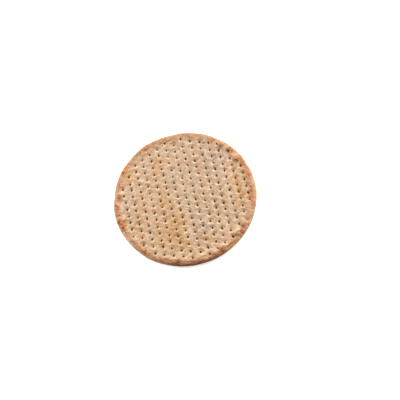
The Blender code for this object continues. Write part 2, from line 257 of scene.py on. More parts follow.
RIM_STAINS = {
    # Browning, and on the shaded sides of some blisters and holes also painted shade
    "browned": (
        (20, 0.0200, 0.0070, 0.0050, 0.80),
        (24, 0.0130, 0.0130, 0.0110, 0.40),
        (35, 0.0110, 0.0090, 0.0100, 0.70),
        (44, 0.0140, 0.0090, 0.0090, 0.50),
        (56, 0.0070, 0.0140, 0.0070, 0.70),
        (72, 0.0070, 0.0200, 0.0070, 0.85),
        (90, 0.0070, 0.0200, 0.0070, 0.90),
        (106, 0.0080, 0.0200, 0.0070, 0.75),
        (123, 0.0070, 0.0240, 0.0070, 0.85),
        (148, 0.0050, 0.0200, 0.0050, 0.45),
        (245, 0.0085, 0.0260, 0.0040, 0.35),
        (307, 0.0130, 0.0120, 0.0060, 0.25),
        (325, 0.0130, 0.0070, 0.0075, 0.75),
        (335, 0.0060, 0.0100, 0.0040, 0.50),
        (20, 0.0022, 0.0260, 0.0032, 0.50),
        (38, 0.0022, 0.0300, 0.0034, 0.80),
        (72, 0.0022, 0.0700, 0.0036, 0.95),
        (118, 0.0022, 0.0600, 0.0036, 0.90),
    ),
    "toasted": (
        (6, 0.0090, 0.0210, 0.0058, 0.85),
        (10, 0.0125, 0.0050, 0.0055, 0.70),
        (12, 0.0020, 0.0360, 0.0030, 0.30),
        (16, 0.0080, 0.0070, 0.0060, 0.55),
        (31, 0.0030, 0.0050, 0.0034, 0.50),
        (31.5, 0.0085, 0.0052, 0.0062, 0.90),
        (34.5, 0.0100, 0.0058, 0.0078, 0.75),
        (43, 0.0115, 0.0062, 0.0060, 0.70),
        (54, 0.0090, 0.0050, 0.0055, 0.35),
        (72, 0.0028, 0.0130, 0.0034, 0.35),
        (104, 0.0080, 0.0035, 0.0045, 0.55),
        (111.5, 0.0035, 0.0050, 0.0042, 1.00),
        (113, 0.0090, 0.0110, 0.0045, 0.50),
        (115.5, 0.0140, 0.0050, 0.0045, 0.70),
        (128, 0.0026, 0.0100, 0.0036, 0.55),
        (131, 0.0100, 0.0070, 0.0060, 0.45),
        (136.5, 0.0040, 0.0034, 0.0040, 0.60),
        (144, 0.0024, 0.0480, 0.0034, 0.40),
        (150.5, 0.0120, 0.0036, 0.0040, 0.45),
        (156, 0.0075, 0.0040, 0.0040, 0.45),
        (158, 0.0190, 0.0040, 0.0030, 0.50),
        (163.5, 0.0105, 0.0080, 0.0060, 0.45),
        (167.5, 0.0140, 0.0045, 0.0050, 0.75),
        (176, 0.0065, 0.0120, 0.0048, 0.60),
        (181, 0.0115, 0.0060, 0.0050, 0.85),
        (187.5, 0.0085, 0.0090, 0.0068, 0.90),
        (193, 0.0085, 0.0080, 0.0072, 0.90),
        (217, 0.0055, 0.0120, 0.0044, 1.00),
        (232, 0.0060, 0.0160, 0.0038, 0.80),
        (239, 0.0085, 0.0120, 0.0056, 0.75),
        (243, 0.0085, 0.0200, 0.0040, 0.45),
        (251, 0.0105, 0.0068, 0.0085, 0.70),
        (264, 0.0095, 0.0200, 0.0045, 0.45),
        (279, 0.0120, 0.0060, 0.0050, 0.45),
        (287, 0.0048, 0.0070, 0.0040, 0.70),
        (289.5, 0.0090, 0.0090, 0.0068, 0.80),
        (301, 0.0055, 0.0150, 0.0038, 0.75),
        (312.5, 0.0075, 0.0060, 0.0050, 1.00),
        (316, 0.0085, 0.0060, 0.0048, 0.75),
        (318.2, 0.0115, 0.0056, 0.0060, 0.78),
        (319.8, 0.0150, 0.0034, 0.0050, 0.70),
        (324, 0.0105, 0.0035, 0.0040, 0.45),
        (336, 0.0055, 0.0050, 0.0030, 0.60),
        (350, 0.0112, 0.0260, 0.0050, 0.90),
    ),
    "golden_rim": (
        (68, 0.0120, 0.0080, 0.0060, 0.40),
        (85, 0.0100, 0.0070, 0.0050, 0.55),
        (96, 0.0090, 0.0080, 0.0050, 0.50),
        (140, 0.0050, 0.0130, 0.0050, 1.00),
        (167, 0.0160, 0.0060, 0.0045, 0.60),
        (190, 0.0160, 0.0105, 0.0045, 0.95),
        (273, 0.0110, 0.0070, 0.0050, 0.45),
        (299, 0.0075, 0.0160, 0.0040, 0.75),
    ),
    "rosy": (
        (49, 0.0060, 0.0100, 0.0050, 0.45),
        (73, 0.0060, 0.0040, 0.0045, 0.45),
        (107, 0.0070, 0.0060, 0.0040, 0.35),
        (152, 0.0055, 0.0140, 0.0042, 0.70),
        (199, 0.0085, 0.0060, 0.0050, 0.95),
        (207, 0.0080, 0.0090, 0.0042, 1.00),
        (340, 0.0170, 0.0120, 0.0050, 0.30),
    ),
    "orange": (
        (21.5, 0.0085, 0.0060, 0.0060, 0.90),
        (24.5, 0.0125, 0.0075, 0.0070, 1.00),
        (41, 0.0080, 0.0070, 0.0050, 0.90),
        (112, 0.0090, 0.0100, 0.0045, 0.35),
        (140, 0.0058, 0.0105, 0.0044, 1.00),
        (163.5, 0.0105, 0.0085, 0.0062, 0.85),
        (188, 0.0090, 0.0110, 0.0055, 0.80),
        (192, 0.0075, 0.0090, 0.0058, 0.60),
        (252, 0.0090, 0.0060, 0.0060, 0.50),
        (290.5, 0.0120, 0.0060, 0.0050, 0.25),
        (302, 0.0085, 0.0065, 0.0042, 0.55),
        (345, 0.0100, 0.0200, 0.0045, 0.50),
    ),
    "scorched": (
        (20.5, 0.0060, 0.0028, 0.0034, 0.80),
        (22.0, 0.0150, 0.0052, 0.0046, 0.50),
        (34.5, 0.0100, 0.0030, 0.0055, 0.15),
        (42.5, 0.0130, 0.0036, 0.0034, 0.35),
        (65, 0.0070, 0.0025, 0.0028, 0.50),
        (99.5, 0.0110, 0.0026, 0.0028, 0.75),
        (104.5, 0.0075, 0.0022, 0.0036, 0.65),
        (108, 0.0095, 0.0020, 0.0032, 0.60),
        (110.5, 0.0085, 0.0022, 0.0052, 0.60),
        (113.5, 0.0100, 0.0022, 0.0052, 0.75),
        (115.5, 0.0115, 0.0026, 0.0036, 0.80),
        (119, 0.0085, 0.0024, 0.0030, 0.75),
        (122.5, 0.0085, 0.0024, 0.0028, 0.65),
        (138, 0.0060, 0.0040, 0.0032, 0.40),
        (141.5, 0.0055, 0.0060, 0.0036, 0.65),
        (162.3, 0.0090, 0.0032, 0.0036, 0.60),
        (165.4, 0.0105, 0.0030, 0.0032, 0.30),
        (169.5, 0.0065, 0.0024, 0.0026, 0.75),
        (172.5, 0.0070, 0.0026, 0.0028, 0.20),
        (175.2, 0.0065, 0.0026, 0.0028, 0.85),
        (181, 0.0075, 0.0040, 0.0038, 0.85),
        (187.6, 0.0062, 0.0060, 0.0044, 1.00),
        (192.8, 0.0072, 0.0046, 0.0056, 0.75),
        (211.5, 0.0075, 0.0026, 0.0028, 0.65),
        (222.5, 0.0075, 0.0050, 0.0050, 0.90),
        (240, 0.0050, 0.0040, 0.0034, 0.60),
        (251.5, 0.0100, 0.0040, 0.0078, 0.50),
        (271, 0.0080, 0.0025, 0.0025, 0.50),
        (289.5, 0.0070, 0.0056, 0.0046, 0.70),
        (312, 0.0075, 0.0042, 0.0048, 0.95),
        (341, 0.0120, 0.0022, 0.0022, 0.45),
    ),
    # Mostly painted highlights on the sides of blisters and folds that face the soft boxes, partly flour
    "pale": (
        (27, 0.0100, 0.0040, 0.0055, 0.60),
        (40, 0.0095, 0.0026, 0.0042, 0.60),
        (48, 0.0080, 0.0080, 0.0045, 0.45),
        (145.5, 0.0060, 0.0035, 0.0030, 0.50),
        (160.3, 0.0165, 0.0050, 0.0056, 1.00),
        (170.5, 0.0100, 0.0035, 0.0045, 0.60),
        (182.5, 0.0180, 0.0060, 0.0030, 0.55),
        (195.5, 0.0060, 0.0020, 0.0030, 0.60),
        (252, 0.0250, 0.0110, 0.0042, 0.55),
        (263, 0.0200, 0.0200, 0.0055, 0.60),
        (276, 0.0055, 0.0044, 0.0050, 0.35),
        (277, 0.0245, 0.0120, 0.0048, 0.65),
        (296, 0.0150, 0.0075, 0.0048, 0.85),
        (312.5, 0.0165, 0.0044, 0.0075, 0.95),
        (321.9, 0.0090, 0.0038, 0.0078, 0.95),
    ),
    # A paler outer edge: partly flour, partly painted light on the edge
    "floury_edge": (
        (0, 0.0020, 0.0400, 0.0028, 0.35),
        (155, 0.0020, 0.0260, 0.0026, 0.35),
        (183, 0.0020, 0.0220, 0.0030, 0.60),
        (206, 0.0030, 0.0340, 0.0038, 1.00),
        (328, 0.0030, 0.0200, 0.0034, 0.40),
        (350, 0.0030, 0.0220, 0.0038, 0.65),
    ),
}
STAIN_SOFT_EDGE = (0.25, 1.30)
STAIN_MOTTLE = 0.0038
STAIN_UNEVENNESS = 0.9

# How a stain's outline strays, which also shifts the stain by up to about 4 mm: each is (how far
# apart the bays of the outline are, how deep they are). The vector noise that draws the bays takes
# its seed from the clock, unless it is given one.
STAIN_STRAYS = ((0.0045, 0.0034), (0.0130, 0.0032))
STAIN_SEED = 2


def stain_shares(plan):
    """How strongly each kind of stain, all of them uneven and ragged, tints each point."""
    noise.seed_set(STAIN_SEED)
    places = [Vector((x, y, 0)) for x, y in plan]
    warped = plan.copy()
    for apart, deep in STAIN_STRAYS:
        warped += deep * np.array([noise.noise_vector(place / apart) for place in places])[:, :2]
    angles, insets = np.arctan2(warped[:, 1], warped[:, 0]), inset_of(warped)
    mottle = 1 + STAIN_UNEVENNESS * np.array([noise.noise(place / STAIN_MOTTLE) for place in places])
    shares = {}
    for name, stains in RIM_STAINS.items():
        shares[name] = np.zeros(len(plan))
        for angle, inset, half_length, half_width, strength in stains:
            turn = (angles - math.radians(angle) + math.pi) % math.tau - math.pi
            away = np.hypot(turn * CRUST_RADIUS / half_length, (insets - inset) / half_width)
            near = np.clip((STAIN_SOFT_EDGE[1] - away) / (STAIN_SOFT_EDGE[1] - STAIN_SOFT_EDGE[0]), 0, 1)
            shares[name] = np.maximum(shares[name], strength * near * near * (3 - 2 * near))
        shares[name] = np.clip(shares[name] * mottle, 0, 1)
    return shares


# ---------------------------------------------------------------- the crust's mesh
# One closed skin: the docked top, the rounded edge and the underside that bakes on a flat tray.
# It starts as a plain disc. Each point knows its share of the dough's height, how far inside
# the edge it lies and how stained it is, and the relief then gives it its place.

top_plan = np.concatenate(
    [edge_ring(EDGE_ROUND_RUN)]
    + [rings_round(hole) for hole in holes]
    + [clear_of_holes(filling(TOP_SPACING, EDGE_ROUND_RUN + RING_GAP_SHARE * TOP_SPACING))]
)
under_margin = EDGE_UNDER_RUN + RING_GAP_SHARE * UNDERSIDE_SPACING
under_plan = np.concatenate([edge_ring(EDGE_UNDER_RUN), filling(UNDERSIDE_SPACING, under_margin)])


def edge_profile():
    """The edge from top to base: how far inside the widest line, and at what share of the height."""
    for step in range(1, EDGE_UPPER_STEPS + 1):
        turn = 0.5 * math.pi * step / EDGE_UPPER_STEPS
        share = EDGE_WIDEST_SHARE + (1 - EDGE_WIDEST_SHARE) * math.cos(turn)
        yield EDGE_ROUND_RUN * (1 - math.sin(turn)), share
    for step in range(1, EDGE_LOWER_STEPS):
        turn = 0.5 * math.pi * step / EDGE_LOWER_STEPS
        yield EDGE_UNDER_RUN * (1 - math.cos(turn)), EDGE_WIDEST_SHARE * (1 - math.sin(turn))


def triangles_of(plan):
    """Triangles over a plan whose outline is its first points."""
    outline = list(range(EDGE_SEGMENTS))
    inside_outline, merge_distance = 1, 1e-8
    points = [Vector(point) for point in plan]
    _, _, faces, _, _, _ = delaunay_2d_cdt(points, [], [outline], inside_outline, merge_distance)
    return np.array(faces)


def disc_mesh():
    """The plain disc, with each point's share of the height, distance inside the edge and stains."""
    plans, shares = [top_plan], [np.ones(len(top_plan))]
    for inset, share in edge_profile():
        plans.append(edge_ring(inset))
        shares.append(np.full(EDGE_SEGMENTS, share))
    plans.append(under_plan)
    shares.append(np.zeros(len(under_plan)))
    plan, share = np.concatenate(plans), np.concatenate(shares)

    rings = [0] + [len(top_plan) + EDGE_SEGMENTS * step for step in range(len(plans) - 1)]
    around = np.arange(EDGE_SEGMENTS)
    after = np.roll(around, -1)
    faces = triangles_of(top_plan).tolist()
    for upper, lower in zip(rings, rings[1:]):
        faces += np.stack([upper + around, lower + around, lower + after, upper + after], axis=1).tolist()
    faces += (triangles_of(under_plan)[:, ::-1] + rings[-1]).tolist()

    mesh = bpy.data.meshes.new("crust_skin")
    mesh.from_pydata(np.column_stack([plan, share * FIELD_THICKNESS]), [], faces)
    mesh.shade_smooth()
    for name, values in {"share": share, "inset": inset_of(plan), **stain_shares(plan)}.items():
        mesh.attributes.new(name, "FLOAT", "POINT").data.foreach_set("value", values)
    return mesh


crust = bpy.data.objects.new("crust_skin", disc_mesh())
bpy.context.scene.collection.objects.link(crust)


# ---------------------------------------------------------------- the relief of the dough
# The dough is pinned down by every hole and swells into a low pillow between them. The rim,
# with no holes, stands higher, and the skin over all of it is wrinkled and finely bubbled.

relief = bpy.data.node_groups.new("dough_relief", "GeometryNodeTree")
relief.is_modifier = True
relief.interface.new_socket("Geometry", in_out="INPUT", socket_type="NodeSocketGeometry")
relief.interface.new_socket("Geometry", in_out="OUTPUT", socket_type="NodeSocketGeometry")

RELIEF_SIZES = {
    "Field thickness": FIELD_THICKNESS - SKIN_INSIDE_SOLID,
    "Rim rise": 0.0015,
    "Rim crown inset": 0.011,
    "Rim width": 0.014,
    "Mouth half width": DOCK_MOUTH_HALF_WIDTH,
    "Dock depth": 0.0030,
    "Mouth unevenness": 0.0008,
    "Pillow rise": 0.0012,
    "Pillow reach": 0.0056,
    "Lip height": 0.00035,
    "Lip reach": 0.0042,
    "Groove depth": 0.00050,
    "Groove reach": 0.0072,
    "Sheet roll": 0.0005,
    "Wrinkle height": 0.00135,
    "Streak height": 0.00035,
    "Grain height": 0.00045,
    "Rim wrinkle height": 0.00100,
    "Bubble height": 0.00060,
    "Edge crag": 0.0007,
}
RELIEF_OBJECTS = {"Docks": dock_points, "Blisters": blister_points}

relief_values = {}
for name, value in RELIEF_SIZES.items():
    socket = relief.interface.new_socket(name, in_out="INPUT", socket_type="NodeSocketFloat")
    socket.subtype = "DISTANCE"
    relief_values[socket.identifier] = value
for name, value in RELIEF_OBJECTS.items():
    socket = relief.interface.new_socket(name, in_out="INPUT", socket_type="NodeSocketObject")
    relief_values[socket.identifier] = value


def add(tree, kind, sockets=None, **settings):
    """Adds a node with its settings, and gives its sockets values or other nodes' live outputs."""
    node = tree.nodes.new(kind)
    for name, value in settings.items():
        setattr(node, name, value)
    for key, value in (sockets or {}).items():
        if isinstance(value, bpy.types.Node):
            value = next(output for output in value.outputs if output.enabled)
        if isinstance(value, bpy.types.NodeSocket):
            tree.links.new(value, node.inputs[key])
        else:
            node.inputs[key].default_value = value
    return node


# The skin above this share of the height counts as the top
TOP_FROM_SHARE = 0.9

given = add(relief, "NodeGroupInput").outputs
place = add(relief, "GeometryNodeInputPosition")
plan = add(relief, "ShaderNodeVectorMath", {0: place, 1: (1, 1, 0)}, operation="MULTIPLY")
share = add(relief, "GeometryNodeInputNamedAttribute", {"Name": "share"}, data_type="FLOAT")
inset = add(relief, "GeometryNodeInputNamedAttribute", {"Name": "inset"}, data_type="FLOAT")
on_top = add(relief, "ShaderNodeMath", {0: share, 1: TOP_FROM_SHARE}, operation="GREATER_THAN")
outwards = add(relief, "ShaderNodeVectorMath", {0: plan}, operation="NORMALIZE")

# A place unrolled along the rim, so that patterns on it are finer across the rim than along it
FINER_ACROSS_RIM = 3.0
along_rim = add(relief, "ShaderNodeVectorMath", {0: outwards, "Scale": CRUST_RADIUS}, operation="SCALE")
across_rim = add(relief, "ShaderNodeMath", {0: inset, 1: FINER_ACROSS_RIM}, operation="MULTIPLY")
across_rim_up = add(relief, "ShaderNodeCombineXYZ", {"Z": across_rim})
rim_place = add(relief, "ShaderNodeVectorMath", {0: along_rim, 1: across_rim_up}, operation="ADD")

# Where each point's nearest hole and nearest blister are, and what they are like
NEAREST = {"Docks": ("size", "lengthening", "turn", "depth", "hold"), "Blisters": ("radius", "height")}
nearest = {}
for kind, names in NEAREST.items():
    cloud = add(relief, "GeometryNodeObjectInfo", {"Object": given[kind]}).outputs["Geometry"]
    index = add(relief, "GeometryNodeSampleNearest", {0: cloud, 1: plan}, domain="POINT")
    nearest[kind] = add(
        relief, "GeometryNodeSampleIndex", {0: cloud, 1: place, 2: index}, data_type="FLOAT_VECTOR"
    )
    for name in names:
        value = add(relief, "GeometryNodeInputNamedAttribute", {"Name": name}, data_type="FLOAT")
        nearest[name] = add(
            relief, "GeometryNodeSampleIndex", {0: cloud, 1: value, 2: index}, data_type="FLOAT"
        )
dock_place = nearest["Docks"]
blister_place = nearest["Blisters"]

# How far each point lies from its nearest hole, in mouths of an uneven oval
MOUTH_WAVE_LENGTH = 0.0026
uneven = add(
    relief, "ShaderNodeTexNoise", {"Vector": plan, "Scale": 1 / MOUTH_WAVE_LENGTH, "Detail": 1.0},
    noise_dimensions="3D", normalize=False,
)
uneven_by = add(
    relief, "ShaderNodeVectorMath", {0: uneven.outputs["Color"], "Scale": given["Mouth unevenness"]},
    operation="SCALE",
)
from_dock = add(relief, "ShaderNodeVectorMath", {0: plan, 1: dock_place}, operation="SUBTRACT")
mouth = add(
    relief, "ShaderNodeMath", {0: given["Mouth half width"], 1: nearest["size"]}, operation="MULTIPLY"
)
dock_distance = add(relief, "ShaderNodeVectorMath", {0: from_dock}, operation="LENGTH")
dock_gap = add(
    relief, "ShaderNodeMath", {0: dock_distance.outputs["Value"], 1: mouth}, operation="SUBTRACT"
)
strayed = add(relief, "ShaderNodeVectorMath", {0: from_dock, 1: uneven_by}, operation="ADD")
turned_back = add(relief, "ShaderNodeMath", {0: nearest["turn"], 1: -1.0}, operation="MULTIPLY")
turned = add(
    relief, "ShaderNodeVectorRotate", {"Vector": strayed, "Angle": turned_back}, rotation_type="Z_AXIS"
)
narrowing = add(relief, "ShaderNodeMath", {0: 1.0, 1: nearest["lengthening"]}, operation="DIVIDE")
squeeze = add(relief, "ShaderNodeCombineXYZ", {"X": 1.0, "Y": narrowing, "Z": 1.0})
rounded = add(relief, "ShaderNodeVectorMath", {0: turned, 1: squeeze}, operation="MULTIPLY")
mouth_distance = add(relief, "ShaderNodeVectorMath", {0: rounded}, operation="LENGTH")
mouths_away = add(
    relief, "ShaderNodeMath", {0: mouth_distance.outputs["Value"], 1: mouth}, operation="DIVIDE"
)

# The pit, a steep-sided hole with a rounded lip, which only the top has
PIT_FLOOR_MOUTHS = 0.30
PIT_LIP_MOUTHS = 1.20
pit_shape = add(
    relief, "ShaderNodeMapRange",
    {0: mouths_away, 1: PIT_FLOOR_MOUTHS, 2: PIT_LIP_MOUTHS, 3: 1.0, 4: 0.0},
    interpolation_type="SMOOTHERSTEP",
)
pit_on_top = add(relief, "ShaderNodeMath", {0: pit_shape, 1: on_top}, operation="MULTIPLY")
pit = add(relief, "ShaderNodeMath", {0: pit_on_top, 1: nearest["depth"]}, operation="MULTIPLY")
pit_drop = add(relief, "ShaderNodeMath", {0: pit, 1: given["Dock depth"]}, operation="MULTIPLY")

# The leaving pin drags the dough to one side of the hole, further round the further out its
# column is, as the sheet spreads under the roller
LIP_OFFSET = (-0.0012, -0.0040, 0.0)
LIP_SLANT_PER_METRE = (-0.038, 0.0, 0.0)
lip_slant = add(
    relief, "ShaderNodeVectorMath", {0: dock_place, 1: LIP_SLANT_PER_METRE}, operation="MULTIPLY"
)
lip_place = add(relief, "ShaderNodeVectorMath", {0: lip_slant, 1: LIP_OFFSET}, operation="ADD")

# The dip of the pillows towards the hole, steeper on the dragged side, and deeper towards the
# near edge, where the roller bore harder; a scar hardly pins the dough down
GENTLE_SIDE_REACH = 1.25
DRAGGED_SIDE_REACH = 0.62
BEARING_Y = (-0.11, 0.06)
BEARING = (1.35, 0.95)
off_dock = add(relief, "ShaderNodeVectorMath", {0: from_dock}, operation="NORMALIZE")
dragged_way = add(relief, "ShaderNodeVectorMath", {0: lip_place}, operation="NORMALIZE")
dragged = add(relief, "ShaderNodeVectorMath", {0: off_dock, 1: dragged_way}, operation="DOT_PRODUCT")
leaning = add(
    relief, "ShaderNodeMapRange",
    {0: dragged.outputs["Value"], 1: -1.0, 2: 1.0, 3: GENTLE_SIDE_REACH, 4: DRAGGED_SIDE_REACH},
)
pillow_reach = add(relief, "ShaderNodeMath", {0: leaning, 1: given["Pillow reach"]}, operation="MULTIPLY")
pin_down = add(
    relief, "ShaderNodeMapRange", {0: dock_gap, 1: 0.0, 2: pillow_reach, 3: 1.0, 4: 0.0},
    interpolation_type="SMOOTHSTEP",
)
dock_spot = add(relief, "ShaderNodeSeparateXYZ", {0: dock_place})
bearing = add(
    relief, "ShaderNodeMapRange",
    {0: dock_spot.outputs["Y"], 1: BEARING_Y[0], 2: BEARING_Y[1], 3: BEARING[0], 4: BEARING[1]},
)
held = add(relief, "ShaderNodeMath", {0: nearest["hold"], 1: bearing}, operation="MULTIPLY")
dip = add(relief, "ShaderNodeMath", {0: pin_down, 1: held}, operation="MULTIPLY")

# The lip of dragged dough, raised a little. The finish paints it pale: partly flour and partly a painted
# highlight on the slope into the hole that faces the soft boxes.
lip_gap = add(relief, "ShaderNodeVectorMath", {0: from_dock, 1: lip_place}, operation="DISTANCE")
lip_shape = add(
    relief, "ShaderNodeMapRange",
    {0: lip_gap.outputs["Value"], 1: 0.0, 2: given["Lip reach"], 3: 1.0, 4: 0.0},
    interpolation_type="SMOOTHSTEP",
)
outside_pit = add(relief, "ShaderNodeMath", {0: 1.0, 1: pit_shape}, operation="SUBTRACT")
lip_outside = add(relief, "ShaderNodeMath", {0: lip_shape, 1: outside_pit}, operation="MULTIPLY")
lip = add(relief, "ShaderNodeMath", {0: lip_outside, 1: nearest["hold"]}, operation="MULTIPLY")

# The groove that the roller's pins leave along each column of holes, deeper in some stretches
# and deepest on one side of the sheet
GROOVE_END = (0.0100, 0.0150)
GROOVE_EDGE_MARGIN = (0.0090, 0.0180)
GROOVE_STRETCH_WAVE_LENGTH = 0.070
GROOVE_STRETCH_FROM = (0.35, 0.65)
GROOVE_STRETCH_DEPTH = (0.2, 1.4)
GROOVE_SIDE_X = (-0.09, 0.03)
GROOVE_SIDE_DEPTH = (0.05, 0.9)
dock_side = add(relief, "ShaderNodeSeparateXYZ", {0: from_dock})
column_gap = add(relief, "ShaderNodeMath", {0: dock_side.outputs["X"]}, operation="ABSOLUTE")
row_gap = add(relief, "ShaderNodeMath", {0: dock_side.outputs["Y"]}, operation="ABSOLUTE")
groove_shape = add(
    relief, "ShaderNodeMapRange", {0: column_gap, 1: 0.0, 2: given["Groove reach"], 3: 1.0, 4: 0.0},
    interpolation_type="SMOOTHSTEP",
)
groove_end = add(
    relief, "ShaderNodeMapRange", {0: row_gap, 1: GROOVE_END[0], 2: GROOVE_END[1], 3: 1.0, 4: 0.0}
)
groove_margin = add(
    relief, "ShaderNodeMapRange",
    {0: inset, 1: GROOVE_EDGE_MARGIN[0], 2: GROOVE_EDGE_MARGIN[1], 3: 0.0, 4: 1.0},
)
stretches = add(
    relief, "ShaderNodeTexNoise",
    {"Vector": plan, "Scale": 1 / GROOVE_STRETCH_WAVE_LENGTH, "Detail": 1.0},
    noise_dimensions="3D",
)
groove_stretch = add(
    relief, "ShaderNodeMapRange",
    {
        0: stretches, 1: GROOVE_STRETCH_FROM[0], 2: GROOVE_STRETCH_FROM[1],
        3: GROOVE_STRETCH_DEPTH[0], 4: GROOVE_STRETCH_DEPTH[1],
    },
)
groove_ended = add(relief, "ShaderNodeMath", {0: groove_shape, 1: groove_end}, operation="MULTIPLY")
groove_inside = add(relief, "ShaderNodeMath", {0: groove_ended, 1: groove_margin}, operation="MULTIPLY")
groove_side = add(
    relief, "ShaderNodeMapRange",
    {
        0: dock_spot.outputs["X"], 1: GROOVE_SIDE_X[0], 2: GROOVE_SIDE_X[1],
        3: GROOVE_SIDE_DEPTH[0], 4: GROOVE_SIDE_DEPTH[1],
    },
)
groove_here = add(relief, "ShaderNodeMath", {0: groove_stretch, 1: groove_side}, operation="MULTIPLY")
groove = add(relief, "ShaderNodeMath", {0: groove_inside, 1: groove_here}, operation="MULTIPLY")

# The rim, from its crown inwards
rim_end = add(relief, "ShaderNodeMath", {0: given["Rim crown inset"], 1: given["Rim width"]}, operation="ADD")
rim = add(
    relief, "ShaderNodeMapRange", {0: inset, 1: given["Rim crown inset"], 2: rim_end, 3: 1.0, 4: 0.0},
    interpolation_type="SMOOTHSTEP",
)

# The blisters, each with an uneven outline
BLISTER_WAVE_LENGTH = 0.0065
BLISTER_WAVER = 0.0040
BLISTER_CROWN_SHARE = 0.25
lumpy = add(
    relief, "ShaderNodeTexNoise", {"Vector": plan, "Scale": 1 / BLISTER_WAVE_LENGTH, "Detail": 2.0},
    noise_dimensions="3D", normalize=False,
)
lumpy_by = add(
    relief, "ShaderNodeVectorMath", {0: lumpy.outputs["Color"], "Scale": BLISTER_WAVER}, operation="SCALE"
)
lumpy_plan = add(relief, "ShaderNodeVectorMath", {0: plan, 1: lumpy_by}, operation="ADD")
blister_distance = add(
    relief, "ShaderNodeVectorMath", {0: lumpy_plan, 1: blister_place}, operation="DISTANCE"
)
blister_radii = add(
    relief, "ShaderNodeMath", {0: blister_distance.outputs["Value"], 1: nearest["radius"]},
    operation="DIVIDE",
)
blister = add(
    relief, "ShaderNodeMapRange", {0: blister_radii, 1: BLISTER_CROWN_SHARE, 2: 1.0, 3: 1.0, 4: 0.0},
    interpolation_type="SMOOTHSTEP",
)

# A blister stretches the wrinkles of the skin out, the roller brushes streaks along the skin in
# places, and only the rim has folds
WRINKLE_SHARE_ON_BLISTER = 0.25
STREAK_SQUEEZE = (1.0, 0.14, 1.0)
stretched = add(
    relief, "ShaderNodeMapRange", {0: blister, 1: 0.0, 2: 1.0, 3: 1.0, 4: WRINKLE_SHARE_ON_BLISTER}
)
wrinkle_height = add(
    relief, "ShaderNodeMath", {0: stretched, 1: given["Wrinkle height"]}, operation="MULTIPLY"
)
streak_place = add(relief, "ShaderNodeVectorMath", {0: plan, 1: STREAK_SQUEEZE}, operation="MULTIPLY")
streak_height = add(
    relief, "ShaderNodeMath", {0: groove_stretch, 1: given["Streak height"]}, operation="MULTIPLY"
)
fold_height = add(relief, "ShaderNodeMath", {0: rim, 1: given["Rim wrinkle height"]}, operation="MULTIPLY")

# The waves of the sheet and its skin. Each is (where it is read, wave length, detail, roughness,
# distortion, height).
WAVES = {
    "roll of the sheet": (plan, 0.055, 0.0, 0.50, 0.0, given["Sheet roll"]),
    "wrinkles": (place, 0.0120, 2.0, 0.45, 0.0, wrinkle_height),
    "streaks": (streak_place, 0.0060, 1.0, 0.50, 0.0, streak_height),
    "grain": (place, 0.0030, 1.0, 0.50, 0.0, given["Grain height"]),
    "folds along the rim": (rim_place, 0.0110, 2.0, 0.50, 0.4, fold_height),
}
waves = []
for where, wave_length, detail, roughness, distortion, wave_height in WAVES.values():
    wave = add(
        relief, "ShaderNodeTexNoise",
        {
            "Vector": where, "Scale": 1 / wave_length, "Detail": detail,
            "Roughness": roughness, "Distortion": distortion,
        },
        noise_dimensions="3D", normalize=False,
    )
    waves.append(("ADD", wave, wave_height))

# Small bubbles under the skin, in some cells of a scatter: the size of each and of its crown is
# a share of the cells' spacing, and the cells that draw least have none
CELL_SPACING = 0.0100
CELL_WITHOUT_BUBBLE = 0.35
LARGEST_BUBBLE = 0.30
SMALLEST_BUBBLE = 0.05
BUBBLE_CROWN = 0.02
cells = add(
    relief, "ShaderNodeTexVoronoi", {"Vector": plan, "Scale": 1 / CELL_SPACING, "Randomness": 1.0},
    voronoi_dimensions="3D", feature="F1",
)
cell_draw = add(relief, "ShaderNodeSeparateXYZ", {0: cells.outputs["Color"]})
bubble_size = add(
    relief, "ShaderNodeMapRange",
    {0: cell_draw.outputs["X"], 1: CELL_WITHOUT_BUBBLE, 2: 1.0, 3: 0.0, 4: LARGEST_BUBBLE},
)
bubble = add(
    relief, "ShaderNodeMapRange",
    {0: cells.outputs["Distance"], 1: BUBBLE_CROWN, 2: bubble_size, 3: 1.0, 4: 0.0},
    interpolation_type="SMOOTHSTEP",
)
bubble_there = add(
    relief, "ShaderNodeMath", {0: bubble_size, 1: SMALLEST_BUBBLE}, operation="GREATER_THAN"
)
bubble_mask = add(relief, "ShaderNodeMath", {0: bubble, 1: bubble_there}, operation="MULTIPLY")

# The height of the top, which each point of the edge takes its share of. Each form is added to it
# or taken from it, with its height or depth.
FORMS = (
    ("ADD", rim, given["Rim rise"]),
    ("ADD", blister, nearest["height"]),
    ("ADD", lip, given["Lip height"]),
    *waves,
    ("ADD", bubble_mask, given["Bubble height"]),
    ("SUBTRACT", dip, given["Pillow rise"]),
    ("SUBTRACT", groove, given["Groove depth"]),
)
height = given["Field thickness"]
for operation, form, form_height in FORMS:
    change = add(relief, "ShaderNodeMath", {0: form, 1: form_height}, operation="MULTIPLY")
    height = add(relief, "ShaderNodeMath", {0: height, 1: change}, operation=operation)
shared_height = add(relief, "ShaderNodeMath", {0: height, 1: share}, operation="MULTIPLY")
pitted_height = add(relief, "ShaderNodeMath", {0: shared_height, 1: pit_drop}, operation="SUBTRACT")

